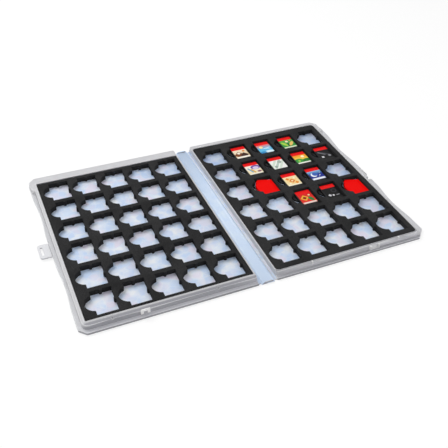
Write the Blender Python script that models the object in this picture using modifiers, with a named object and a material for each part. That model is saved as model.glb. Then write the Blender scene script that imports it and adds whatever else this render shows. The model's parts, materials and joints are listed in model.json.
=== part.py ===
"""Game cartridge binder, lying open flat.

A clamshell case moulded in one piece of frosted polypropylene: a left tray (the cover), a spine and a right
tray (the base), joined by living hinges, with a slotted latch tab on a third living hinge. Each tray holds a
die-cut foam sheet with a grid of card pockets, and thirteen cards lie in the right tray's pockets.

Metres, +Z up. +X points to the right tray and +Y to the far side. The origin is under the middle of the
spine's width. A tray's sizes are written for the right tray. The left tray is its mirror image in X, with its
own well and flange.
"""

import math

import bmesh
import bpy
from mathutils import Matrix

# Cards
CARD_WIDTH = 0.0210
CARD_LENGTH = 0.0310
CARD_THICK = 0.0033
CARD_CORNER = 0.0012
CARD_EDGE = 0.00025
LABEL_WIDTH = 0.0182
LABEL_LENGTH = 0.0236
LABEL_THICK = 0.00025
LABEL_CORNER = 0.0008
LABEL_RECESS = 0.00055
LABEL_SEAT_CLEARANCE = 0.0002
LABEL_LIFT = 0.000255
LABEL_FAR_MARGIN = 0.0013
CONTACT_COUNT = 8
CONTACT_WIDTH = 0.0012
CONTACT_LENGTH = 0.0060
CONTACT_DEPTH = 0.0006
CONTACT_PITCH = 0.0020
CONTACT_NEAR_MARGIN = 0.0022
RED_CARD_BULGE = 0.0026
RED_CARD_ARC_RADIUS = 0.0198

# Foam sheets
COLUMNS = 5
ROWS = 6
COLUMN_WEB = 0.0031
ROW_WEB = 0.0051
POCKET_CLEARANCE = 0.0003
SCOOP_RADIUS = 0.0106
SCOOP_INSET = 0.0023
NUB_RADIUS = 0.0018
FOAM_MARGIN = 0.0040
RIGHT_FOAM_NEAR_MARGIN = 0.00775
RIGHT_FOAM_FAR_MARGIN = 0.01005
RIGHT_FOAM_SIDE_MARGIN = 0.0055
FOAM_BELOW_RIM = 0.0004

# Trays, whose walls meet when the case is closed
REST_CLEARANCE = 0.0003
WALL = 0.0011
FLOOR = 0.0009
FOAM_CLEARANCE = 0.0004
RIM_EDGE = 0.0003
NEAR_RIM_WIDTH = 0.0028
SIDE_RIM_WIDTH = 0.0027
FAR_RIM_WIDTH = 0.0060
WALL_LEAN = 0.0008
FAR_WALL_WRAP = 0.0250
NEAR_CORNER_RADIUS = 0.0060
SPINE_CORNER_RADIUS = 0.0020
LEFT_WELL_RADIUS = 0.0010
RIGHT_WELL_RADIUS = 0.0040
LIP_HEIGHT = 0.0002
LIP_END_GAP = 0.0045

# The flange outside the walls, with two shallow scallops in each free side
FLANGE_HEIGHT = 0.0027
FLANGE_WIDTH = 0.0037
FAR_FLANGE_WIDTH = 0.0003
RIGHT_SIDE_FLANGE_WIDTH = 0.0087
LEFT_CHAMFER = 0.0070
RIGHT_CHAMFER = 0.0110
CHAMFER_RADIUS = 0.0025
LEFT_SCALLOP = 0.0018
RIGHT_SCALLOP = 0.0030
SCALLOP_FROM_MIDDLE = 0.0180
SCALLOP_STEPS = 10

# Living hinges
HINGE_HALF_GAP = 0.00015
HINGE_NOSE = 0.00025
HINGE_TO_MIDDLE = 0.0075
HINGE_FLANGE_WIDTH = 0.0030
PARTING_GAP = 0.0003

# Spine
SPINE_EDGE_THICK = 0.0015
SPINE_MIDDLE_THICK = 0.0008
SPINE_LIP_THICK = 0.0011
SPINE_LIP_HEIGHT = 0.0028
SPINE_LIP_RADIUS = 0.0022
SPINE_LIP_CLEARANCE = 0.0004

# Latch tab on the left tray and catch on the right
LATCH_WIDTH = 0.0215
LATCH_TIP_HEIGHT = 0.00175
LATCH_THICK = 0.0010
LATCH_CORNER = 0.0028
SLOT_WIDTH = 0.0128
SLOT_HEIGHT = 0.0026
SLOT_CORNER = 0.0006
CATCH_CLEARANCE = 0.00035
CATCH_REACH = 0.0026
CATCH_TAPER = 0.0004
CATCH_PAD_CLEARANCE = 0.0010
CATCH_PAD_RECESS = 0.0010
CATCH_PAD_BELOW_RIM = 0.0006
CATCH_NIB_HEIGHT = 0.00535

# Clip on the front walls and alignment nubs
CLIP_X = 0.1270
CLIP_WIDTH = 0.0090
CLIP_THICK = 0.0010
CLIP_ROOT_Z = 0.0045
CLIP_RISE = 0.0026
CLIP_WINDOW_WIDTH = 0.0046
CLIP_WINDOW_HEIGHT = 0.0015
CLIP_WINDOW_MARGIN = 0.0006
CLIP_CLEARANCE = 0.0003
CLIP_NIB_REACH = 0.0013
CLIP_RIB_WIDTH = 0.0013
NUB_XS = (0.0520, 0.1580)
NUB_WIDTH = 0.0012
NUB_RISE = 0.0006
NUB_LOW_Z = 0.0045
NUB_CLEARANCE = 0.0004

# Which pockets of the right tray hold a card: row from the far side, column from the spine, both from 1
CARTRIDGES = ((1, 2), (1, 3), (1, 4), (2, 2), (2, 3), (2, 4), (2, 5), (3, 3), (3, 4), (4, 3), (4, 4))
RED_CARDS = ((3, 2), (4, 5))

# Worked out from the sizes above
POCKET_WIDTH = CARD_WIDTH + 2 * POCKET_CLEARANCE
POCKET_LENGTH = CARD_LENGTH + 2 * POCKET_CLEARANCE
SCOOP_REACH = SCOOP_RADIUS - SCOOP_INSET
COLUMN_PITCH = POCKET_WIDTH + SCOOP_REACH + COLUMN_WEB
ROW_PITCH = POCKET_LENGTH + ROW_WEB
GRID_WIDTH = (COLUMNS - 1) * COLUMN_PITCH + POCKET_WIDTH + SCOOP_REACH
GRID_DEPTH = (ROWS - 1) * ROW_PITCH + POCKET_LENGTH
PARTING = HINGE_NOSE + HINGE_TO_MIDDLE
RIM_HEIGHT = PARTING - PARTING_GAP / 2
HINGE_EDGE = HINGE_TO_MIDDLE + HINGE_HALF_GAP
WALL_X = HINGE_TO_MIDDLE + HINGE_FLANGE_WIDTH
WELL_X0 = WALL_X + WALL
SEAT_Z = FLOOR + REST_CLEARANCE
FOAM_TOP = RIM_HEIGHT - FOAM_BELOW_RIM
LATCH_TOP = FLANGE_HEIGHT
LATCH_BOTTOM = LATCH_TOP - LATCH_THICK
LATCH_AXIS_Z = LATCH_BOTTOM + HINGE_NOSE
LATCH_LENGTH = 2 * PARTING - LATCH_AXIS_Z - LATCH_TIP_HEIGHT
SLOT_FROM_HINGE = 2 * PARTING - LATCH_AXIS_Z - CATCH_NIB_HEIGHT
CATCH_PAD_TOP = RIM_HEIGHT - CATCH_PAD_BELOW_RIM
ABOVE = 0.02


class Tray:
    """One tray's side (1 right, -1 left), its foam sheet, its well and the shape of its flange."""

    def __init__(self, side, margins, radius, flange_width, chamfer, scallop):
        near_margin, far_margin, side_margin = margins
        self.side = side
        self.radius = radius
        self.flange_width = flange_width
        self.chamfer = chamfer
        self.scallop = scallop
        self.foam_near = -GRID_DEPTH / 2 - near_margin
        self.foam_far = GRID_DEPTH / 2 + far_margin
        self.foam_width = FOAM_MARGIN + GRID_WIDTH + side_margin
        self.foam_inner = WELL_X0 + FOAM_CLEARANCE
        self.well_near = self.foam_near - FOAM_CLEARANCE
        self.well_far = self.foam_far + FOAM_CLEARANCE
        self.well_x = self.foam_inner + self.foam_width + FOAM_CLEARANCE
        self.foam_left = self.foam_inner if side > 0 else -self.foam_inner - self.foam_width
        self.grid_left = self.foam_left + (FOAM_MARGIN if side > 0 else side_margin)

    def flip(self, points):
        return [(self.side * x, y) for x, y in points]


LEFT_MARGINS = (FOAM_MARGIN, FOAM_MARGIN, FOAM_MARGIN)
RIGHT_MARGINS = (RIGHT_FOAM_NEAR_MARGIN, RIGHT_FOAM_FAR_MARGIN, RIGHT_FOAM_SIDE_MARGIN)
LEFT = Tray(-1, LEFT_MARGINS, LEFT_WELL_RADIUS, FLANGE_WIDTH, LEFT_CHAMFER, LEFT_SCALLOP)
RIGHT = Tray(1, RIGHT_MARGINS, RIGHT_WELL_RADIUS, RIGHT_SIDE_FLANGE_WIDTH, RIGHT_CHAMFER, RIGHT_SCALLOP)

# The walls stand round the larger well, the right one, and the left tray's walls match them
SIDE_WALL_X = max(LEFT.well_x, RIGHT.well_x) + SIDE_RIM_WIDTH
NEAR_WALL_Y = min(LEFT.well_near, RIGHT.well_near) - NEAR_RIM_WIDTH
FAR_WALL_Y = max(LEFT.well_far, RIGHT.well_far) + FAR_RIM_WIDTH
NEAR_Y = NEAR_WALL_Y - FLANGE_WIDTH
FAR_Y = FAR_WALL_Y + FAR_FLANGE_WIDTH
MIDDLE_Y = (NEAR_Y + FAR_Y) / 2
LEFT_OUTER_X = SIDE_WALL_X + LEFT.flange_width
RIGHT_OUTER_X = SIDE_WALL_X + RIGHT.flange_width
WRAP_WALL_X = LEFT_OUTER_X - FAR_FLANGE_WIDTH
WALL_CHAMFER = LEFT_CHAMFER - FAR_FLANGE_WIDTH * (2 - math.sqrt(2))
SCALLOP_LENGTH = (FAR_Y - NEAR_Y) / 2 - FAR_WALL_WRAP - SCALLOP_FROM_MIDDLE
HINGE_NEAR_Y = NEAR_Y + SPINE_LIP_THICK + SPINE_LIP_CLEARANCE
HINGE_FAR_Y = FAR_Y - SPINE_LIP_THICK - SPINE_LIP_CLEARANCE
LATCH_AXIS_X = LEFT_OUTER_X + HINGE_HALF_GAP


def clear_scene():
    for obj in list(bpy.data.objects):
        bpy.data.objects.remove(obj, do_unlink=True)


def new_collection(name):
    collection = bpy.data.collections.new(name)
    bpy.context.scene.collection.children.link(collection)
    return collection


def srgb(value):
    """A linear colour from an sRGB hex value."""
    channels = [((value >> shift) & 255) / 255 for shift in (16, 8, 0)]
    return [c / 12.92 if c <= 0.04045 else ((c + 0.055) / 1.055) ** 2.4 for c in channels] + [1.0]


def material(name, colour, roughness, transmission=0.0):
    made = bpy.data.materials.new(name)
    made.use_nodes = True
    shader = made.node_tree.nodes["Principled BSDF"]
    shader.inputs["Base Color"].default_value = srgb(colour)
    shader.inputs["Roughness"].default_value = roughness
    shader.inputs["Metallic"].default_value = 0.0
    shader.inputs["Transmission Weight"].default_value = transmission
    made.diffuse_color = srgb(colour)
    return made


def add_object(name, mesh, finish=None, collection=None):
    obj = bpy.data.objects.new(name, mesh)
    (collection or cutters).objects.link(obj)
    if finish:
        mesh.materials.append(finish)
    else:
        obj.hide_render = True
        obj.display_type = "WIRE"
    return obj


def arc(centre_x, centre_y, radius, start, end, steps):
    """Points on an arc between two angles in degrees, both ends included."""
    angles = [math.radians(start + (end - start) * i / steps) for i in range(steps + 1)]
    return [(centre_x + radius * math.cos(a), centre_y + radius * math.sin(a)) for a in angles]


def rounded(corners, steps=3):
    """An outline from (x, y, radius) corners, each corner turned by an arc of its radius."""
    points = []
    for i, (x, y, radius) in enumerate(corners):
        if not radius:
            points.append((x, y))
            continue
        ax, ay = corners[i - 1][0] - x, corners[i - 1][1] - y
        bx, by = corners[(i + 1) % len(corners)][0] - x, corners[(i + 1) % len(corners)][1] - y
        a_long, b_long = math.hypot(ax, ay), math.hypot(bx, by)
        ax, ay, bx, by = ax / a_long, ay / a_long, bx / b_long, by / b_long
        half = math.acos(max(-1.0, min(1.0, ax * bx + ay * by))) / 2
        tangent = radius / math.tan(half)
        mx, my = ax + bx, ay + by
        reach = radius / math.sin(half) / math.hypot(mx, my)
        cx, cy = x + mx * reach, y + my * reach
        first = math.atan2(y + ay * tangent - cy, x + ax * tangent - cx)
        last = math.atan2(y + by * tangent - cy, x + bx * tangent - cx)
        turn = (last - first + math.pi) % (2 * math.pi) - math.pi
        for k in range(steps + 1):
            angle = first + turn * k / steps
            points.append((cx + radius * math.cos(angle), cy + radius * math.sin(angle)))
    return points


def plate(name, outlines, low, high, finish=None, collection=None, axis="Z"):
    """A flat plate with holes, from closed outlines, the first its edge. Its thickness runs along an axis."""
    curve = bpy.data.curves.new(name, "CURVE")
    curve.dimensions = "2D"
    curve.fill_mode = "BOTH"
    curve.extrude = (high - low) / 2
    for outline in outlines:
        spline = curve.splines.new("POLY")
        spline.points.add(len(outline) - 1)
        for point, (x, y) in zip(spline.points, outline):
            point.co = (x, y, 0.0, 1.0)
        spline.use_cyclic_u = True
    drawn = bpy.data.objects.new(name + "_outline", curve)
    bpy.context.scene.collection.objects.link(drawn)
    bpy.context.view_layer.update()
    mesh = bpy.data.meshes.new_from_object(drawn.evaluated_get(bpy.context.evaluated_depsgraph_get()))
    bpy.data.objects.remove(drawn, do_unlink=True)
    bpy.data.curves.remove(curve)
    mesh.transform(Matrix.Translation((0.0, 0.0, (low + high) / 2)))
    if axis == "Y":
        mesh.transform(Matrix(((1, 0, 0, 0), (0, 0, 1, 0), (0, 1, 0, 0), (0, 0, 0, 1))))
    bm = bmesh.new()
    bm.from_mesh(mesh)
    bmesh.ops.remove_doubles(bm, verts=bm.verts, dist=1e-7)
    bmesh.ops.recalc_face_normals(bm, faces=bm.faces)
    bm.to_mesh(mesh)
    bm.free()
    mesh.materials.clear()
    return add_object(name, mesh, finish, collection)


def loft(name, rings, finish=None, collection=None):
    """A closed solid through rings of as many points each, capped by the first and the last."""
    bm = bmesh.new()
    levels = [[bm.verts.new(point) for point in ring] for ring in rings]
    for low, high in zip(levels, levels[1:]):
        for i, vert in enumerate(low):
            following = (i + 1) % len(low)
            bm.faces.new((vert, low[following], high[following], high[i]))
    bm.faces.new(levels[0])
    bm.faces.new(levels[-1])
    bmesh.ops.recalc_face_normals(bm, faces=bm.faces)
    mesh = bpy.data.meshes.new(name)
    bm.to_mesh(mesh)
    bm.free()
    return add_object(name, mesh, finish, collection)


def box(name, low, high):
    """A cutter or a boss between two corners, given in any order."""
    bm = bmesh.new()
    bmesh.ops.create_cube(bm, size=1.0)
    for vert in bm.verts:
        for axis in range(3):
            vert.co[axis] = (low[axis] + high[axis]) / 2 + vert.co[axis] * abs(high[axis] - low[axis])
    mesh = bpy.data.meshes.new(name)
    bm.to_mesh(mesh)
    bm.free()
    return add_object(name, mesh)


def boolean(target, operand, operation):
    modifier = target.modifiers.new(operand.name, "BOOLEAN")
    modifier.operation = operation
    modifier.object = operand


def set_origin(obj, point):
    """Moves an object's origin to a point without moving its shape."""
    obj.data.transform(Matrix.Translation((-point[0], -point[1], -point[2])))
    obj.location = point


def plate_path(tray, inset, start_x=WALL_X):
    """The base plate's outline, inset all round but on the spine side, near to far."""
    x1 = SIDE_WALL_X + tray.flange_width - inset
    near, far = NEAR_Y + inset, FAR_Y - inset
    leg = tray.chamfer - inset * (2 - math.sqrt(2))
    scallops = []
    for end in (-1, 1):
        for i in range(1, SCALLOP_STEPS):
            share = i / SCALLOP_STEPS
            dip = tray.scallop * (1 - math.cos(2 * math.pi * share)) / 2
            scallops.append((MIDDLE_Y + end * (SCALLOP_FROM_MIDDLE + SCALLOP_LENGTH * share), dip))
    corners = [
        (start_x, near, 0.0),
        (x1 - leg, near, CHAMFER_RADIUS),
        (x1, near + leg, CHAMFER_RADIUS),
        *[(x1 - dip, y, 0.0) for y, dip in sorted(scallops)],
        (x1, far - leg, CHAMFER_RADIUS),
        (x1 - leg, far, CHAMFER_RADIUS),
        (start_x, far, 0.0),
    ]
    return rounded(corners)


def wall_path(lean, thick=0.0):
    """The rim's outer wall, set back from the plate's edge at the near and free sides, near to far."""
    side_x = SIDE_WALL_X - lean - thick
    near = NEAR_WALL_Y + lean + thick
    inset = lean / 2 + thick
    far, wrap_x = FAR_WALL_Y - inset, WRAP_WALL_X - inset
    wrap_y = FAR_Y - FAR_WALL_WRAP + thick * (math.sqrt(2) - 1)
    leg = WALL_CHAMFER - inset * (2 - math.sqrt(2))
    corners = [
        (WALL_X + thick, near, SPINE_CORNER_RADIUS),
        (side_x, near, NEAR_CORNER_RADIUS - thick),
        (side_x, wrap_y, 0.0),
        (wrap_x, wrap_y + wrap_x - side_x, 0.0),
        (wrap_x, far - leg, CHAMFER_RADIUS),
        (wrap_x - leg, far, CHAMFER_RADIUS),
        (WALL_X + thick, far, SPINE_CORNER_RADIUS),
    ]
    return rounded(corners)


def well_outline(tray, grow=0.0):
    x0, x1 = WELL_X0 - grow, tray.well_x + grow
    near, far = tray.well_near - grow, tray.well_far + grow
    return rounded([(x, y, tray.radius + grow) for x, y in ((x0, near), (x1, near), (x1, far), (x0, far))])


def level(points, z):
    return [(x, y, z) for x, y in points]


def lean_at(z):
    """How far the sloping outer wall has come in from its foot at a height."""
    return WALL_LEAN * (z - FLANGE_HEIGHT) / (RIM_HEIGHT - FLANGE_HEIGHT)


def tray_body(name, tray, finish):
    """A tray's outside: the chamfered plate, and on it the rim with its sloping wall, hollow underneath."""
    section = (
        (RIM_EDGE, 0.0),
        (0.0, RIM_EDGE),
        (0.0, FLANGE_HEIGHT - RIM_EDGE),
        (RIM_EDGE, FLANGE_HEIGHT),
    )
    body = loft(name, [level(tray.flip(plate_path(tray, inset)), z) for inset, z in section], finish, parts)
    section = (
        (0.0, FLANGE_HEIGHT - WALL / 2),
        (lean_at(RIM_HEIGHT - RIM_EDGE), RIM_HEIGHT - RIM_EDGE),
        (lean_at(RIM_HEIGHT) + RIM_EDGE, RIM_HEIGHT),
    )
    rim = loft(name + "_rim", [level(tray.flip(wall_path(lean)), z) for lean, z in section])
    boolean(body, rim, "UNION")

    flange_roof, rim_roof = FLANGE_HEIGHT - WALL, RIM_HEIGHT - WALL
    outline = tray.flip(plate_path(tray, WALL, WALL_X + WALL))
    flange = plate(name + "_flange_channel", [outline], -ABOVE, flange_roof)
    section = ((0.0, -ABOVE / 2), (0.0, flange_roof), (lean_at(rim_roof), rim_roof))
    rings = [level(tray.flip(wall_path(lean, WALL)), z) for lean, z in section]
    channel = loft(name + "_rim_channel", rings)
    core = plate(name + "_channel_core", [tray.flip(well_outline(tray, WALL))], -ABOVE * 2, ABOVE)
    boolean(flange, core, "DIFFERENCE")
    boolean(channel, core, "DIFFERENCE")
    boolean(body, flange, "DIFFERENCE")
    boolean(body, channel, "DIFFERENCE")
    well = plate(name + "_well", [tray.flip(well_outline(tray))], FLOOR, ABOVE)
    boolean(body, well, "DIFFERENCE")
    add_hinge_flange(body, tray)
    return body


def add_hinge_flange(body, tray):
    """The thin strip between the spine-side wall and the living hinge, nosed down to the film."""
    section = [
        (HINGE_EDGE, 0.0),
        (WALL_X + WALL / 2, 0.0),
        (WALL_X + WALL / 2, FLOOR),
        (HINGE_EDGE + FLOOR - HINGE_NOSE, FLOOR),
        (HINGE_EDGE, HINGE_NOSE),
    ]
    flange = plate(body.name + "_hinge_flange", [tray.flip(section)], HINGE_NEAR_Y, HINGE_FAR_Y, axis="Y")
    boolean(body, flange, "UNION")


def make_left_tray(finish):
    """The cover half: a low lip round its well, the clip's tongue and the latch's hinge edge."""
    body = tray_body("left_tray", LEFT, finish)
    x0, x1, near, far = WELL_X0 + LIP_END_GAP, LEFT.well_x, LEFT.well_near, LEFT.well_far
    outside = rounded([
        (x0, near - WALL, 0.0),
        (x1 + WALL, near - WALL, LEFT.radius + WALL),
        (x1 + WALL, far + WALL, LEFT.radius + WALL),
        (x0, far + WALL, 0.0),
    ])
    inside = rounded([(x0, near, 0.0), (x1, near, LEFT.radius), (x1, far, LEFT.radius), (x0, far, 0.0)])
    lip = plate("left_lip", [LEFT.flip(outside + inside[::-1])], RIM_HEIGHT - WALL, PARTING + LIP_HEIGHT)
    boolean(body, lip, "UNION")

    for x in NUB_XS:
        half = NUB_WIDTH / 2 + NUB_CLEARANCE
        low = (-x - half, NEAR_Y, RIM_HEIGHT - NUB_RISE - NUB_CLEARANCE)
        high = (-x + half, RIGHT.well_near + NUB_CLEARANCE, ABOVE)
        boolean(body, box(f"left_nub_notch_{round(x * 1000)}", low, high), "DIFFERENCE")

    outer = NEAR_WALL_Y - CLIP_CLEARANCE
    half = CLIP_WIDTH / 2
    low = (-CLIP_X - half, outer - CLIP_THICK, CLIP_ROOT_Z)
    root = box("clip_root", low, (-CLIP_X + half, NEAR_WALL_Y + WALL, RIM_HEIGHT - RIM_EDGE))
    boolean(body, root, "UNION")
    top = RIM_HEIGHT + CLIP_RISE
    outline = rounded([
        (-CLIP_X - half, RIM_HEIGHT - WALL, 0.0),
        (-CLIP_X + half, RIM_HEIGHT - WALL, 0.0),
        (-CLIP_X + half, top, CLIP_THICK / 2),
        (-CLIP_X - half, top, CLIP_THICK / 2),
    ])
    window_half, window_top = CLIP_WINDOW_WIDTH / 2, top - CLIP_WINDOW_MARGIN
    window_low = window_top - CLIP_WINDOW_HEIGHT
    window = [
        (-CLIP_X - window_half, window_low),
        (-CLIP_X + window_half, window_low),
        (-CLIP_X + window_half, window_top),
        (-CLIP_X - window_half, window_top),
    ]
    boolean(body, plate("clip_tongue", [outline, window], outer - CLIP_THICK, outer, axis="Y"), "UNION")

    low, high = latch_span(CATCH_PAD_CLEARANCE)
    edge = LATCH_TOP - LATCH_AXIS_Z
    wedge = [
        (-LEFT_OUTER_X - RIM_EDGE, LATCH_AXIS_Z - RIM_EDGE),
        (-LEFT_OUTER_X, LATCH_AXIS_Z),
        (-LEFT_OUTER_X + edge + RIM_EDGE, LATCH_TOP + RIM_EDGE),
        (-LEFT_OUTER_X - RIM_EDGE, LATCH_TOP + RIM_EDGE),
    ]
    boolean(body, plate("latch_hinge_groove", [wedge], low, high, axis="Y"), "DIFFERENCE")
    return body


def latch_span(clearance):
    """The latch tab's near and far sides, with a clearance on each."""
    half = LATCH_WIDTH / 2 + clearance
    return MIDDLE_Y - half, MIDDLE_Y + half


def make_right_tray(finish):
    """The base half: two nubs on its front wall, the clip's guide ribs and nib, and the catch."""
    body = tray_body("right_tray", RIGHT, finish)
    for x in NUB_XS:
        low = (x - NUB_WIDTH / 2, NEAR_WALL_Y, NUB_LOW_Z)
        high = (x + NUB_WIDTH / 2, RIGHT.well_near - WALL / 2, RIM_HEIGHT + NUB_RISE)
        boolean(body, box(f"nub_{round(x * 1000)}", low, high), "UNION")

    outer = NEAR_WALL_Y - CLIP_CLEARANCE - CLIP_THICK
    for end in (-1, 1):
        x = CLIP_X + end * (CLIP_WIDTH / 2 + CLIP_CLEARANCE + CLIP_RIB_WIDTH / 2)
        low = (x - CLIP_RIB_WIDTH / 2, outer, FLANGE_HEIGHT - WALL / 2)
        high = (x + CLIP_RIB_WIDTH / 2, NEAR_WALL_Y + WALL, RIM_HEIGHT - RIM_EDGE)
        boolean(body, box(f"clip_rib_{end + 1}", low, high), "UNION")
    window_middle = RIM_HEIGHT + CLIP_RISE - CLIP_WINDOW_MARGIN - CLIP_WINDOW_HEIGHT / 2
    nib_z = 2 * PARTING - window_middle
    high = CLIP_WINDOW_HEIGHT / 2 - CLIP_CLEARANCE
    wide = CLIP_WINDOW_WIDTH / 2 - CLIP_CLEARANCE
    reach, root = NEAR_WALL_Y - CLIP_NIB_REACH, NEAR_WALL_Y + WALL
    section = [(reach, nib_z - high), (reach, nib_z), (root, nib_z + high), (root, nib_z - high)]
    rings = [[(x, y, z) for y, z in section] for x in (CLIP_X - wide, CLIP_X + wide)]
    boolean(body, loft("clip_nib", rings), "UNION")
    add_catch(body)
    return body


def add_catch(body):
    """A pad on the side wall in a notch of the flange, and the nib that the latch's slot goes over."""
    near, far = latch_span(CATCH_PAD_CLEARANCE)
    pad_face = LEFT_OUTER_X - CATCH_PAD_RECESS
    pad = box("catch_pad", (SIDE_WALL_X - WALL, near, 0.0), (pad_face, far, CATCH_PAD_TOP))
    boolean(body, pad, "UNION")
    notch = box("catch_notch", (pad_face, near, -WALL), (RIGHT_OUTER_X + WALL, far, RIM_HEIGHT + WALL))
    boolean(body, notch, "DIFFERENCE")
    nib_high = SLOT_HEIGHT / 2 - CATCH_CLEARANCE
    nib_wide = SLOT_WIDTH / 2 - CATCH_CLEARANCE
    rings = []
    for x, shrink in ((pad_face - WALL, 0.0), (pad_face + CATCH_REACH, CATCH_TAPER)):
        wide, high = nib_wide - shrink, nib_high - shrink
        corners = ((-1, -1), (1, -1), (1, 1), (-1, 1))
        rings.append([(x, MIDDLE_Y + u * wide, CATCH_NIB_HEIGHT + v * high) for u, v in corners])
    boolean(body, loft("catch_nib", rings), "UNION")


def make_spine(finish):
    """A strip dished along its length, nosed down to the hinge films, with a low lip across each end."""
    half = HINGE_TO_MIDDLE - HINGE_HALF_GAP
    shoulder = half - (SPINE_EDGE_THICK - HINGE_NOSE)
    dish = SPINE_EDGE_THICK - SPINE_MIDDLE_THICK
    radius = (shoulder**2 + dish**2) / (2 * dish)
    spread = math.degrees(math.asin(shoulder / radius))
    bowl = arc(0.0, SPINE_MIDDLE_THICK + radius, radius, 270 - spread, 270 + spread, 8)
    section = [(-half, 0.0), (half, 0.0), (half, HINGE_NOSE)] + bowl[::-1] + [(-half, HINGE_NOSE)]
    spine = plate("spine", [section], NEAR_Y, FAR_Y, finish, parts, axis="Y")
    for end, low in (("near", NEAR_Y), ("far", FAR_Y - SPINE_LIP_THICK)):
        outline = rounded(
            [
                (-shoulder, 0.0, 0.0),
                (shoulder, 0.0, 0.0),
                (shoulder, SPINE_LIP_HEIGHT, SPINE_LIP_RADIUS),
                (-shoulder, SPINE_LIP_HEIGHT, SPINE_LIP_RADIUS),
            ]
        )
        lip = plate(f"spine_lip_{end}", [outline], low, low + SPINE_LIP_THICK, axis="Y")
        boolean(spine, lip, "UNION")
    return spine


def make_latch(finish):
    """A slotted tab, level with the left tray's flange, with its hinge edge nosed down to the film."""
    hinge = -LATCH_AXIS_X - HINGE_HALF_GAP
    tip = -LATCH_AXIS_X - LATCH_LENGTH
    near, far = latch_span(0.0)
    tab = [(hinge, near, 0), (hinge, far, 0), (tip, far, LATCH_CORNER), (tip, near, LATCH_CORNER)]
    slot_x = -LATCH_AXIS_X - SLOT_FROM_HINGE
    wide, high = SLOT_WIDTH / 2, SLOT_HEIGHT / 2
    corners = ((1, -1), (1, 1), (-1, 1), (-1, -1))
    slot = [(slot_x + u * high, MIDDLE_Y + v * wide, SLOT_CORNER) for u, v in corners]
    latch = plate("latch_tab", [rounded(tab), rounded(slot)], LATCH_BOTTOM, LATCH_TOP, finish, parts)
    nose = (LATCH_TOP - LATCH_AXIS_Z) * 2
    section = [
        (hinge, LATCH_AXIS_Z),
        (hinge - nose, LATCH_AXIS_Z + nose),
        (hinge + nose, LATCH_AXIS_Z + nose),
        (hinge + nose, LATCH_AXIS_Z),
    ]
    boolean(latch, plate("latch_nose", [section], -LATCH_WIDTH, LATCH_WIDTH, axis="Y"), "DIFFERENCE")
    return latch


def pocket_corner(tray, row, column):
    """The near left corner of a pocket, the thumb scoop being on its left."""
    x = tray.grid_left + SCOOP_REACH + (column - 1) * COLUMN_PITCH
    y = GRID_DEPTH / 2 - POCKET_LENGTH - (row - 1) * ROW_PITCH
    return x, y


def pocket_outline(x, y, filled):
    """A card's rectangle with a thumb scoop and, where no card presses them flat, two holding nubs."""
    right, far = x + POCKET_WIDTH, y + POCKET_LENGTH
    middle_x, middle_y = x + POCKET_WIDTH / 2, y + POCKET_LENGTH / 2
    points = [(x, y), (right, y)]
    if not filled:
        points += arc(right, middle_y, NUB_RADIUS, 270, 90, 4)
    points.append((right, far))
    if not filled:
        points += arc(middle_x, far, NUB_RADIUS, 360, 180, 4)
    points.append((x, far))
    open_angle = math.degrees(math.acos(-SCOOP_INSET / SCOOP_RADIUS))
    points += arc(x + SCOOP_INSET, middle_y, SCOOP_RADIUS, open_angle, 360 - open_angle, 9)
    return points


def make_foam(name, tray, filled, finish):
    """A die-cut sheet with a grid of pockets."""
    left, right = tray.foam_left, tray.foam_left + tray.foam_width
    near, far = tray.foam_near, tray.foam_far
    corners = ((left, near), (right, near), (right, far), (left, far))
    outlines = [rounded([(x, y, tray.radius) for x, y in corners])]
    for row in range(1, ROWS + 1):
        for column in range(1, COLUMNS + 1):
            x, y = pocket_corner(tray, row, column)
            outlines.append(pocket_outline(x, y, (row, column) in filled))
    return plate(name, outlines, SEAT_Z, FOAM_TOP, finish, parts)


def card_mesh(finish):
    """A cartridge's welded shell, with a label recess and the contact openings in its underside."""
    corners = [(0, 0), (CARD_WIDTH, 0), (CARD_WIDTH, CARD_LENGTH), (0, CARD_LENGTH)]
    outline = rounded([(x, y, CARD_CORNER) for x, y in corners], steps=2)
    shell = plate("card_shell", [outline], 0.0, CARD_THICK)
    bevel = shell.modifiers.new("softened_edges", "BEVEL")
    bevel.width = CARD_EDGE
    bevel.segments = 1
    bevel.limit_method = "ANGLE"
    bevel.angle_limit = math.radians(60)
    left, far = (CARD_WIDTH - LABEL_WIDTH) / 2, CARD_LENGTH - LABEL_FAR_MARGIN
    seat = label_outline(left, far - LABEL_LENGTH, LABEL_SEAT_CLEARANCE)
    recess = plate("label_recess", [seat], CARD_THICK - LABEL_RECESS, ABOVE)
    boolean(shell, recess, "DIFFERENCE")
    for i in range(CONTACT_COUNT):
        x = CARD_WIDTH / 2 + (i - (CONTACT_COUNT - 1) / 2) * CONTACT_PITCH
        low = (x - CONTACT_WIDTH / 2, CONTACT_NEAR_MARGIN, -ABOVE)
        high = (x + CONTACT_WIDTH / 2, CONTACT_NEAR_MARGIN + CONTACT_LENGTH, CONTACT_DEPTH)
        boolean(shell, box(f"contact_opening_{i}", low, high), "DIFFERENCE")
    return evaluated_mesh(shell, "cartridge_shell", finish)


def label_outline(x, y, grow):
    """The label's outline, grown all round to give its recess."""
    low_x, low_y = x - grow, y - grow
    high_x, high_y = x + LABEL_WIDTH + grow, y + LABEL_LENGTH + grow
    corners = [(low_x, low_y), (high_x, low_y), (high_x, high_y), (low_x, high_y)]
    return rounded([(cx, cy, LABEL_CORNER + grow) for cx, cy in corners], steps=2)


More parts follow.
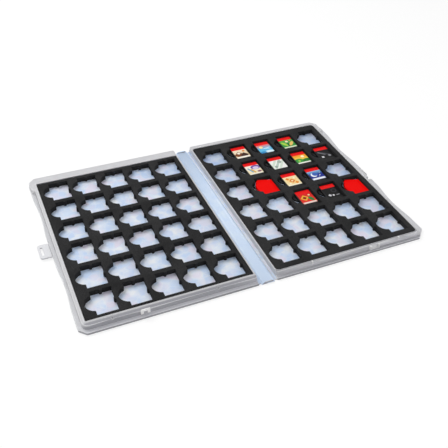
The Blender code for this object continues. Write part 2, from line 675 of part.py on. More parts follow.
def red_card_mesh(finish):
    """A plain card whose left side is one wide arc, reaching into the thumb scoop."""
    centre_x = RED_CARD_ARC_RADIUS - RED_CARD_BULGE
    spread = math.degrees(math.asin(CARD_LENGTH / 2 / RED_CARD_ARC_RADIUS))
    side = arc(centre_x, CARD_LENGTH / 2, RED_CARD_ARC_RADIUS, 180 - spread, 180 + spread, 10)
    corners = [(side[-1][0], 0, 0), (CARD_WIDTH, 0, CARD_CORNER), (CARD_WIDTH, CARD_LENGTH, CARD_CORNER)]
    right = rounded(corners, steps=2)
    shell = plate("red_card_shell", [right[1:] + side], 0.0, CARD_THICK)
    bevel = shell.modifiers.new("softened_edges", "BEVEL")
    bevel.width = CARD_EDGE
    bevel.segments = 1
    bevel.limit_method = "ANGLE"
    bevel.angle_limit = math.radians(60)
    return evaluated_mesh(shell, "red_card", finish)


def evaluated_mesh(source, name, finish):
    """The finished mesh of an object with modifiers, for the objects that share it."""
    bpy.context.view_layer.update()
    mesh = bpy.data.meshes.new_from_object(source.evaluated_get(bpy.context.evaluated_depsgraph_get()))
    mesh.name = name
    mesh.materials.clear()
    mesh.materials.append(finish)
    source.modifiers.clear()
    return mesh


def make_cards(card_finish, label_finish, red_finish):
    shell, red = card_mesh(card_finish), red_card_mesh(red_finish)
    left = (CARD_WIDTH - LABEL_WIDTH) / 2
    near = CARD_LENGTH - LABEL_FAR_MARGIN - LABEL_LENGTH
    low = CARD_THICK - LABEL_RECESS + LABEL_LIFT
    label = plate("label_blank", [label_outline(left, near, 0.0)], low, low + LABEL_THICK)
    label_mesh = evaluated_mesh(label, "label", label_finish)
    for row, column in CARTRIDGES + RED_CARDS:
        x, y = pocket_corner(RIGHT, row, column)
        place = (x + POCKET_CLEARANCE, y + POCKET_CLEARANCE, SEAT_Z)
        tag = f"r{row}c{column}"
        if (row, column) in RED_CARDS:
            add_card(f"red_card_{tag}", red, place)
            continue
        cartridge = add_card(f"cartridge_{tag}", shell, place)
        sticker = add_card(f"label_{tag}", label_mesh, (0.0, 0.0, 0.0))
        sticker.parent = cartridge


def add_card(name, mesh, place):
    obj = bpy.data.objects.new(name, mesh)
    obj.location = place
    parts.objects.link(obj)
    return obj


def main():
    frosted = material("frosted_polypropylene", 0xD2D4DA, 0.45, 0.5)
    foam = material("black_foam", 0x2B2A28, 0.95)
    card = material("black_card_plastic", 0x17171A, 0.4)
    label = material("printed_label", 0xE6DCC8, 0.5)
    red = material("red_card_plastic", 0xE8140F, 0.4)

    make_right_tray(frosted)
    spine = make_spine(frosted)
    left_tray = make_left_tray(frosted)
    latch = make_latch(frosted)
    make_foam("right_foam_insert", RIGHT, CARTRIDGES + RED_CARDS, foam)
    make_foam("left_foam_insert", LEFT, (), foam)
    make_cards(card, label, red)

    set_origin(spine, (HINGE_TO_MIDDLE, 0.0, HINGE_NOSE))
    set_origin(left_tray, (-HINGE_TO_MIDDLE, 0.0, HINGE_NOSE))
    set_origin(latch, (-LATCH_AXIS_X, MIDDLE_Y, LATCH_AXIS_Z))


clear_scene()
parts = new_collection("game_cartridge_binder")
cutters = new_collection("cutters")
main()
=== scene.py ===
import json
import math

import bmesh
import bpy
from mathutils import Matrix, Vector
from mathutils.bvhtree import BVHTree


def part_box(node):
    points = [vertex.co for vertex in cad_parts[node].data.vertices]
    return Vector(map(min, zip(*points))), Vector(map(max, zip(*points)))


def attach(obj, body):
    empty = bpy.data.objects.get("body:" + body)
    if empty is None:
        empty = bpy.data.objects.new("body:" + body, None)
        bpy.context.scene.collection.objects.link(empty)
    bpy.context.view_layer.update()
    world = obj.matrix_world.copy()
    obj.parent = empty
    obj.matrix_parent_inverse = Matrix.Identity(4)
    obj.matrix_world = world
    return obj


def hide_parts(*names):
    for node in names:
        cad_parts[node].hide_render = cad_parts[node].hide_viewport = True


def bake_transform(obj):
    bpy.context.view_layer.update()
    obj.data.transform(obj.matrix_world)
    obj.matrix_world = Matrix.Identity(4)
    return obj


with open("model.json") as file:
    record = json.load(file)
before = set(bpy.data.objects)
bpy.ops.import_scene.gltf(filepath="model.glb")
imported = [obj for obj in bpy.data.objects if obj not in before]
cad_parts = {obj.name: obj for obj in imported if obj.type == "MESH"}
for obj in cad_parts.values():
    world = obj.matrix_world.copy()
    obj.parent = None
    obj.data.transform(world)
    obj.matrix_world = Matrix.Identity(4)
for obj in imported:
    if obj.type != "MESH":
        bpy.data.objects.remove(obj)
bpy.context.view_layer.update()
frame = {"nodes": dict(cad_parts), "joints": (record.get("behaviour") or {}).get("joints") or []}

# The looks of a game cartridge binder lying open flat: frosted trays, foam sheets, cards and their labels.
# Metres, +Z up, in the frame's axes: +X to the right tray, +Y to the far side. A name that ends in _MM is in
# millimetres, for patterns and prints.

MM = 0.001

CARTRIDGES = sorted(name for name in frame["nodes"] if name.startswith("cartridge_"))
RED_CARDS = sorted(name for name in frame["nodes"] if name.startswith("red_card_"))
# A card's width between its corners, its play in the pocket, and how far a red card's rounded side stands out
CARD_SPAN = 21.0 * MM
CARD_CLEARANCE = 0.3 * MM
RED_CARD_BULGE = 2.6 * MM

# Camera, solved from the two grids of pockets
CAMERA_PLACE = (-0.24087384, -0.52137667, 0.46199799)
CAMERA_RIGHT = (0.91632318, -0.39871264, 0.03715010)
CAMERA_UP = (0.23004947, 0.60010731, 0.76612258)
CAMERA_BACK = (-0.32775679, -0.69346911, 0.64161986)
CAMERA_LENS = 52.523
SENSOR = 36.0
CAMERA_CLIP = (0.01, 20.0)


def linear(value):
    """A linear colour from an sRGB hex value."""
    channels = [((value >> shift) & 255) / 255 for shift in (16, 8, 0)]
    return [c / 12.92 if c <= 0.04045 else ((c + 0.055) / 1.055) ** 2.4 for c in channels] + [1.0]


def connect(tree, made, inputs):
    """Gives a node its inputs. Each is a value or another node's output socket."""
    for key, value in inputs.items():
        if isinstance(value, bpy.types.NodeSocket):
            tree.links.new(value, made.inputs[key])
        else:
            made.inputs[key].default_value = value


def node(tree, kind, inputs=None, **settings):
    """Adds a node with its settings and its inputs."""
    made = tree.nodes.new(kind)
    for key, value in settings.items():
        setattr(made, key, value)
    connect(tree, made, inputs or {})
    return made


def layered(tree, colour, layers):
    """A colour with others laid over it in turn, each with its share. A colour is a hex value or a socket."""
    for share, over in layers:
        below, above = (linear(paint) if isinstance(paint, int) else paint for paint in (colour, over))
        colour = node(tree, "ShaderNodeMix", {0: share, 6: below, 7: above}, data_type="RGBA").outputs[2]
    return colour


def scale_for(size_mm):
    """A texture's scale for features of this size."""
    return 1 / (size_mm * MM)


def from_span(span):
    """Map Range's inputs for the two values that it maps from."""
    return {1: span[0], 2: span[1]}


def to_span(span):
    """Map Range's inputs for the two values that it maps to."""
    return {3: span[0], 4: span[1]}


def new_material(name):
    """A material with its Principled shader, and its tree."""
    made = bpy.data.materials.new(name)
    made.use_nodes = True
    return made, made.node_tree, made.node_tree.nodes["Principled BSDF"]


# Frosted polypropylene, injection moulded in one piece with its living hinges: milky and translucent. To the
# eye that is a cloudy floor of soft patches with pale weld lines between them, a satin sheen, and edges with
# a painted highlight. The etched frost is finer than 0.1 mm and wouldn't show, so its grain is drawn at 0.5
# mm.
CLOUD_MM = 13.0
CLOUD_SPREAD = (0.36, 0.64)
PATCH_MM = 9.0
PATCH_SMOOTHNESS = 0.7
PATCH_SPREAD = (0.3, 0.9)
PATCH_BEND = 6.0 * MM
LAVENDER_SPREAD = (0.45, 0.85)
WELD_LINE_MM = 0.5
WELD_LINE_SHARE = 0.4
FROST_GRAIN_MM = 0.5
FROST_GRAIN_HEIGHT = 0.03 * MM
FROST_GRAIN_STRENGTH = 0.15
FROST_ROUGHNESS = (0.3, 0.48)
FROST_IOR = 1.49

# The tones of the trays, whose floors look bluer than their rims, of the spine, which is bluer still and lets
# less light through, and of the latch tab, which is one plain tone. The edge tone is a painted highlight, and
# on the latch tab a painted shade line with a painted highlight beside its hinge
TRAY_FROST = {
    "floor": 0xCFE3FF, "pale": 0xF6FAFF, "lavender": 0xECE8F8, "rim": 0xD5D5D8,
    "edge": 0xFAFAFC, "hinge_edge_highlight": 0xFAFAFC, "light_through": 0.3,
}
SPINE_FROST = {
    "floor": 0xD0E4FF, "pale": 0xE6F3FF, "lavender": 0xDDEBFF, "rim": 0xB4DAFF,
    "edge": 0xD6E8FF, "hinge_edge_highlight": 0xD6E8FF, "light_through": 0.1,
}
LATCH_FROST = {
    "floor": 0xE6E6E9, "pale": 0xE6E6E9, "lavender": 0xE6E6E9, "rim": 0xE6E6E9,
    "edge": 0xC2C2C6, "hinge_edge_highlight": 0xFFFFFF, "light_through": 0.3,
}

# Painted light and shade on the near side's bands, at the left and at the right: the wall, the rim's crown
# above it and the flange's shelf below it. The wall's foot has a painted shade all along.
PAINTED_NEAR_WALL_LIGHT_AND_SHADE = (0xA2A2AA, 0xE6E6EC)
PAINTED_NEAR_CROWN_SHADE = (0x96969E, 0xA8A8AE)
PAINTED_NEAR_SHELF_SHADE = (0xD6D6DC, 0xA8A8AE)
PAINTED_NEAR_FOOT_SHADE = 0x909098

# Painted light: the clip's tongue, the nubs and the ribs are painted white, as light comes through their thin
# plastic, and so are the rims as seen from below, lifting the shade in the channels there
PAINTED_LIGHT_FROST = 0xFFFFFF
UNDERSIDE_FROST = (0xD9E0EA, 0xE9EDF4)

# The floors darken towards the far right, by their place in Y plus this much of their place in X
FAR_SHADE = 0xDCE3EF
FAR_FOR_X = 0.75
FAR_SPAN = (30.0 * MM, 110.0 * MM)

# The near walls' outside: its foot, and how far it comes in for each step up. The clip and the nubs stand
# proud of it.
WALL_FOOT_Y = -118.5 * MM
WALL_FOOT_Z = 2.7 * MM
WALL_SLOPE = 0.8 / 4.9
RIM_TOP = 7.6 * MM
CLIP_X = 127.0 * MM

# Where the tints lie. Each share goes from 0 to 1 between two values of a reading. The places x, y and z are
# the frame's, level is how flat a face lies, from 0 upright to 1, slope_y is -1 where it faces the near side,
# before_wall is how far it stands proud of the near wall, and from_clip how far it is from the clip's middle.
FROST_SHARES = {
    "raised": ("z", 1.6 * MM, 2.4 * MM),
    "upright": ("level", 0.6, 0.4),
    "leaning": ("level", 0.95, 0.85),
    "lying": ("level", 0.85, 0.95),
    "near_facing": ("slope_y", -0.2, -0.8),
    "rightward": ("x", -40.0 * MM, 60.0 * MM),
    "foot_height": ("z", 2.9 * MM, 2.4 * MM),
    "crown_row": ("y", -113.5 * MM, -114.5 * MM),
    "crown_height": ("z", 5.5 * MM, 6.5 * MM),
    "shelf_row": ("y", -118.0 * MM, -118.6 * MM),
    "shelf_height": ("z", 4.0 * MM, 3.2 * MM),
    "proud": ("before_wall", 0.1 * MM, 0.25 * MM),
    "above_flange": ("z", 3.1 * MM, 3.5 * MM),
    "above_rim": ("z", RIM_TOP + 0.4 * MM, RIM_TOP + 0.5 * MM),
    "clip_middle": ("from_clip", 2.1 * MM, 1.7 * MM),
    "below_window": ("z", 8.1 * MM, 7.7 * MM),
    # Where the latch tab's painted highlight beside its hinge lies
    "latch_hinge": ("x", -194.5 * MM, -193.0 * MM),
}
# Regions, where all of these shares hold
FROST_REGIONS = {
    "foot": ("foot_height", "near_facing"),
    "crown": ("crown_row", "crown_height", "lying"),
    "shelf": ("shelf_row", "shelf_height", "lying"),
    "standing_proud": ("proud", "above_flange"),
    "clip_window_shade": ("clip_middle", "below_window"),
}
# How much painted light the clip's middle loses, leaving the darker wall tint as a painted shade in its
# window
CLIP_WINDOW_SHADE_SHARE = 0.9
# How much of the painted edge tone the sloping faces such as chamfers take
PAINTED_SLANT_SHARE = 0.9

# A painted highlight: a thin edge is painted in the edge tone where the form turns within the band, by how
# far the rounded normal leans from the face's own. On the latch tab that tone is darker, a painted shade
# line.
# The rounding softens every sharp edge's highlight.
FROST_ROUNDING_MM = 0.3
PAINTED_EDGE_BAND_MM = 0.7
PAINTED_EDGE_ALIGNED = (0.995, 0.93)
PAINTED_EDGE_SHARE = 0.75


def frost_readings(tree):
    """The places and slopes that the tints go by, all in the panel's own axes."""
    coordinates = node(tree, "ShaderNodeTexCoord").outputs
    x, y, z = node(tree, "ShaderNodeSeparateXYZ", {0: coordinates["Object"]}).outputs
    slope = node(tree, "ShaderNodeSeparateXYZ", {0: coordinates["Normal"]}).outputs
    level = node(tree, "ShaderNodeMath", {0: slope[2]}, operation="ABSOLUTE")
    wall = node(
        tree, "ShaderNodeMath", {0: z, 1: WALL_SLOPE, 2: WALL_FOOT_Y - WALL_SLOPE * WALL_FOOT_Z},
        operation="MULTIPLY_ADD",
    )
    before_wall = node(tree, "ShaderNodeMath", {0: wall.outputs[0], 1: y}, operation="SUBTRACT")
    sideways = node(tree, "ShaderNodeMath", {0: x}, operation="ABSOLUTE")
    beyond_clip = node(tree, "ShaderNodeMath", {0: sideways.outputs[0], 1: CLIP_X}, operation="SUBTRACT")
    from_clip = node(tree, "ShaderNodeMath", {0: beyond_clip.outputs[0]}, operation="ABSOLUTE")
    return {
        "place": coordinates["Object"], "x": x, "y": y, "z": z, "slope_y": slope[1],
        "level": level.outputs[0], "before_wall": before_wall.outputs[0], "from_clip": from_clip.outputs[0],
    }


def frost_shares(tree, readings):
    """The shares and regions by name, with the rims, slopes painted as edge lines and thin parts painted
    light.
    """
    shares = {}
    for name, (reading, *span) in FROST_SHARES.items():
        share = node(tree, "ShaderNodeMapRange", {"Value": readings[reading], **from_span(span)})
        shares[name] = share.outputs[0]
    for name, (first, *others) in FROST_REGIONS.items():
        shares[name] = shares[first]
        for other in others:
            product = node(tree, "ShaderNodeMath", {0: shares[name], 1: shares[other]}, operation="MULTIPLY")
            shares[name] = product.outputs[0]
    rim = node(tree, "ShaderNodeMath", {0: shares["raised"], 1: shares["upright"]}, operation="MAXIMUM")
    slant = node(tree, "ShaderNodeMath", {0: shares["leaning"], 1: shares["upright"]}, operation="SUBTRACT")
    slanted = node(
        tree, "ShaderNodeMath", {0: slant.outputs[0], 1: PAINTED_SLANT_SHARE}, operation="MULTIPLY", use_clamp=True
    )
    # Painted light on what stands proud of the near wall and above the rim, taken off the clip's middle
    tips = node(
        tree, "ShaderNodeMath", {0: shares["standing_proud"], 1: shares["above_rim"]}, operation="MAXIMUM"
    )
    thin = node(
        tree, "ShaderNodeMath", {0: shares["clip_window_shade"], 1: -CLIP_WINDOW_SHADE_SHARE, 2: tips.outputs[0]},
        operation="MULTIPLY_ADD", use_clamp=True,
    )
    shares.update(rim=rim.outputs[0], slanted=slanted.outputs[0], thin=thin.outputs[0])
    return shares


def milky_floor(tree, readings, clouds, cloudy, tones):
    """Cloudy flow marks, patches with a weld line round each, and the shade of the far right."""
    bend = node(
        tree, "ShaderNodeVectorMath", {0: clouds.outputs["Color"], 1: (PATCH_BEND, PATCH_BEND, 0.0)},
        operation="MULTIPLY",
    )
    bent = node(tree, "ShaderNodeVectorMath", {0: readings["place"], 1: bend.outputs[0]}, operation="ADD")
    pattern = {"Vector": bent.outputs[0], "Scale": scale_for(PATCH_MM)}
    patches = node(
        tree, "ShaderNodeTexVoronoi", {**pattern, "Smoothness": PATCH_SMOOTHNESS}, feature="SMOOTH_F1"
    )
    borders = node(tree, "ShaderNodeTexVoronoi", pattern, feature="DISTANCE_TO_EDGE")
    patch = node(tree, "ShaderNodeSeparateColor", {0: patches.outputs["Color"]}).outputs
    plain = node(tree, "ShaderNodeMapRange", {"Value": patch[0], **from_span(PATCH_SPREAD)})
    tinged = node(tree, "ShaderNodeMapRange", {"Value": patch[1], **from_span(LAVENDER_SPREAD)})
    weld = node(
        tree, "ShaderNodeMapRange",
        {"Value": borders.outputs["Distance"], 2: WELD_LINE_MM / PATCH_MM, 3: WELD_LINE_SHARE, 4: 0.0},
    )
    floor = layered(tree, tones["floor"], [
        (cloudy, tones["pale"]), (plain.outputs[0], tones["floor"]), (tinged.outputs[0], tones["lavender"]),
        (weld.outputs[0], tones["pale"]),
    ])
    away = node(
        tree, "ShaderNodeMath", {0: readings["x"], 1: FAR_FOR_X, 2: readings["y"]}, operation="MULTIPLY_ADD"
    )
    far = node(tree, "ShaderNodeMapRange", {"Value": away.outputs[0], **from_span(FAR_SPAN)})
    shaded = node(
        tree, "ShaderNodeMix", {0: far.outputs[0], 6: floor, 7: linear(FAR_SHADE)}, data_type="RGBA",
        blend_type="MULTIPLY",
    )
    return shaded.outputs[2]


def rims_with_painted_shade(tree, shares, rim_colour):
    """The rims' colour, with the painted light and shade of the near side's bands."""
    wall, crown, shelf = (
        layered(tree, left, [(shares["rightward"], right)])
        for left, right in (PAINTED_NEAR_WALL_LIGHT_AND_SHADE, PAINTED_NEAR_CROWN_SHADE, PAINTED_NEAR_SHELF_SHADE)
    )
    wall = layered(tree, wall, [(shares["foot"], PAINTED_NEAR_FOOT_SHADE)])
    return layered(tree, rim_colour, [
        (shares["near_facing"], wall), (shares["crown"], crown), (shares["shelf"], shelf),
    ])


def painted_edge_share(tree):
    """How far the form turns within the band at each point: the share of the painted edge highlight or shade
    line.
    """
    turned = node(tree, "ShaderNodeBevel", {"Radius": PAINTED_EDGE_BAND_MM * MM}, samples=8)
    facing = node(tree, "ShaderNodeNewGeometry").outputs["Normal"]
    aligned = node(tree, "ShaderNodeVectorMath", {0: turned.outputs[0], 1: facing}, operation="DOT_PRODUCT")
    share = node(tree, "ShaderNodeMapRange", {
        "Value": aligned.outputs["Value"], **from_span(PAINTED_EDGE_ALIGNED), 4: PAINTED_EDGE_SHARE,
    })
    return share.outputs[0]


def frosted_polypropylene(name, tones):
    made, tree, shader = new_material(name)
    readings = frost_readings(tree)
    shares = frost_shares(tree, readings)
    place = readings["place"]
    clouds = node(tree, "ShaderNodeTexNoise", {"Vector": place, "Scale": scale_for(CLOUD_MM), "Detail": 2.0})
    cloudy = node(
        tree, "ShaderNodeMapRange", {"Value": clouds.outputs["Fac"], **from_span(CLOUD_SPREAD)}
    ).outputs[0]
    underneath = node(tree, "ShaderNodeAttribute", attribute_name="underneath").outputs["Fac"]
    # Faces covered from above take a plain milky tone, with a painted light on the rims among them
    underside = layered(tree, UNDERSIDE_FROST[0], [(cloudy, UNDERSIDE_FROST[1]), (shares["rim"], PAINTED_LIGHT_FROST)])
    # The edge tone is painted: a highlight on the trays and the spine, and on the latch tab a shade line with
    # a painted highlight beside its hinge
    edge = layered(tree, tones["edge"], [(shares["latch_hinge"], tones["hinge_edge_highlight"])])
    colour = layered(tree, milky_floor(tree, readings, clouds, cloudy, tones), [
        (shares["rim"], rims_with_painted_shade(tree, shares, tones["rim"])), (underneath, underside),
        (painted_edge_share(tree), edge), (shares["slanted"], edge), (shares["thin"], PAINTED_LIGHT_FROST),
    ])
    grain = node(
        tree, "ShaderNodeTexNoise", {"Vector": place, "Scale": scale_for(FROST_GRAIN_MM), "Detail": 2.0}
    )
    rough = node(
        tree, "ShaderNodeMapRange", {"Value": clouds.outputs["Fac"], **to_span(FROST_ROUGHNESS)}
    )
    rounding = node(tree, "ShaderNodeBevel", {"Radius": FROST_ROUNDING_MM * MM}, samples=6)
    bump = node(tree, "ShaderNodeBump", {
        "Height": grain.outputs["Fac"], "Strength": FROST_GRAIN_STRENGTH, "Distance": FROST_GRAIN_HEIGHT,
        "Normal": rounding.outputs[0],
    })
    connect(tree, shader, {
        "Base Color": colour, "Roughness": rough.outputs[0], "Normal": bump.outputs[0], "IOR": FROST_IOR,
        "Transmission Weight": tones["light_through"],
    })
    return made


# EVA foam, closed-cell and die cut: near black and dull, with open cells on its skived face and soft broad
# clouds. Real cells are about 0.2 mm wide and wouldn't show, so they are drawn at 0.7 mm.
FOAM_DARK = 0x131314
FOAM_LIGHT = 0x2C2C2D
FOAM_CELL_MM = 0.7
FOAM_CELL_REACH = 0.8
FOAM_CELL_DEPTH = 0.15 * MM
FOAM_CELL_STRENGTH = 0.5
FOAM_CLOUD_MM = 30.0
FOAM_SPREAD = (0.1, 0.5)
FOAM_ROUGHNESS = 0.9
FOAM_SHINE = 0.2


def black_foam():
    made, tree, shader = new_material("black_eva_foam_die_cut")
    place = node(tree, "ShaderNodeTexCoord").outputs["Object"]
    cells = node(tree, "ShaderNodeTexVoronoi", {"Vector": place, "Scale": scale_for(FOAM_CELL_MM)})
    clouds = node(
        tree, "ShaderNodeTexNoise", {"Vector": place, "Scale": scale_for(FOAM_CLOUD_MM), "Detail": 3.0}
    )
    cell_share = node(tree, "ShaderNodeMapRange", {"Value": cells.outputs["Distance"], 2: FOAM_CELL_REACH})
    share = node(
        tree, "ShaderNodeMath", {0: cell_share.outputs[0], 1: clouds.outputs["Fac"]}, operation="MULTIPLY"
    )
    light = node(tree, "ShaderNodeMapRange", {"Value": share.outputs[0], **from_span(FOAM_SPREAD)})
    bump = node(tree, "ShaderNodeBump", {
        "Height": cells.outputs["Distance"], "Strength": FOAM_CELL_STRENGTH, "Distance": FOAM_CELL_DEPTH,
    })
    connect(tree, shader, {
        "Base Color": layered(tree, FOAM_DARK, [(light.outputs[0], FOAM_LIGHT)]), "Normal": bump.outputs[0],
        "Roughness": FOAM_ROUGHNESS, "Specular IOR Level": FOAM_SHINE,
    })
    return made


# ABS, injection moulded with a spark-eroded grain: satin, its highlights broken up by the grain. The black
# shells have a soft shine, and the red cards are clear in colour and nearly dull. Spark grain is about
# 0.05 mm wide and wouldn't show, so it is drawn at 0.35 mm.
BLACK_ABS = {"colour": 0x0B0B0D, "roughness": 0.42, "shine": 0.18}
RED_ABS = {"colour": 0xF50301, "roughness": 0.5, "shine": 0.06}
CARD_GRAIN_MM = 0.35
CARD_GRAIN_HEIGHT = 0.04 * MM
CARD_GRAIN_STRENGTH = 0.3
CARD_DARKEST = 0.82
CARD_SMOOTHER = 0.06
CARD_ROUGHER = 0.08


def card_plastic(name, finish):
    made, tree, shader = new_material(name)
    place = node(tree, "ShaderNodeTexCoord").outputs["Object"]
    grain = node(
        tree, "ShaderNodeTexNoise", {"Vector": place, "Scale": scale_for(CARD_GRAIN_MM), "Detail": 3.0}
    )
    height = grain.outputs["Fac"]
    dark = [channel * CARD_DARKEST for channel in linear(finish["colour"])[:3]] + [1.0]
    rough = node(tree, "ShaderNodeMapRange", {
        "Value": height, 3: finish["roughness"] - CARD_SMOOTHER, 4: finish["roughness"] + CARD_ROUGHER,
    })
    bump = node(tree, "ShaderNodeBump", {
        "Height": height, "Strength": CARD_GRAIN_STRENGTH, "Distance": CARD_GRAIN_HEIGHT,
    })
    connect(tree, shader, {
        "Base Color": layered(tree, dark, [(height, finish["colour"])]), "Roughness": rough.outputs[0],
        "Normal": bump.outputs[0], "Specular IOR Level": finish["shine"],
    })
    return made


# Copper alloy, stamped and gold plated: warm and bright, a little duller where it is worn
GOLD_DEEP = 0xC9962E
GOLD_BRIGHT = 0xF0CF78
GOLD_WEAR_MM = 1.2
GOLD_ROUGHNESS = (0.2, 0.36)


def gold_contact():
    made, tree, shader = new_material("gold_plated_contact")
    place = node(tree, "ShaderNodeTexCoord").outputs["Object"]
    wear = node(
        tree, "ShaderNodeTexNoise", {"Vector": place, "Scale": scale_for(GOLD_WEAR_MM), "Detail": 3.0}
    )
    rough = node(tree, "ShaderNodeMapRange", {"Value": wear.outputs["Fac"], **to_span(GOLD_ROUGHNESS)})
    connect(tree, shader, {
        "Base Color": layered(tree, GOLD_DEEP, [(wear.outputs["Fac"], GOLD_BRIGHT)]),
        "Roughness": rough.outputs[0], "Metallic": 1.0,
    })
    return made


